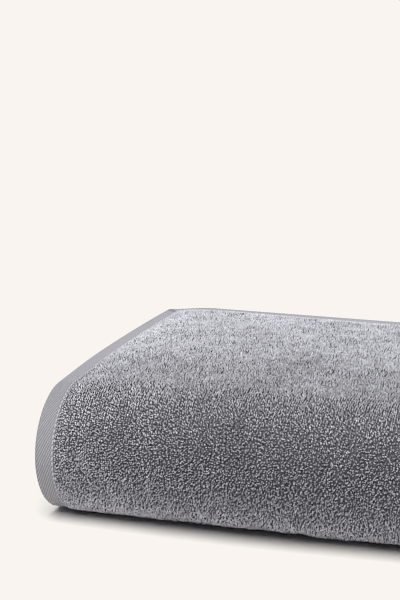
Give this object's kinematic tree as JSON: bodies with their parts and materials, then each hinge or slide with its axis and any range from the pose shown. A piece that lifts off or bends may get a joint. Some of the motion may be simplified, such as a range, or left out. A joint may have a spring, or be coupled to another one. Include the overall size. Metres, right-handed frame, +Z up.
{
  "type": "folded washcloth",
  "caption": "Square of thick grey terry with flat hems, doubled over and folded in three into a soft rectangular stack with one big round front fold.",
  "frame": {"origin": "centre of the footprint, on the surface that the cloth lies on", "axes": "+Z up through the stack of layers, +X along the side fold's long direction towards the doubled-over fold, -Y towards the big round front fold"},
  "size_m": [0.1684, 0.1184, 0.04],
  "materials": {
    "terry": "looped cotton pile with smooth flat-woven hems"
  },
  "bodies": {
    "root": {"folded_washcloth": "terry"}
  },
  "joints": []
}
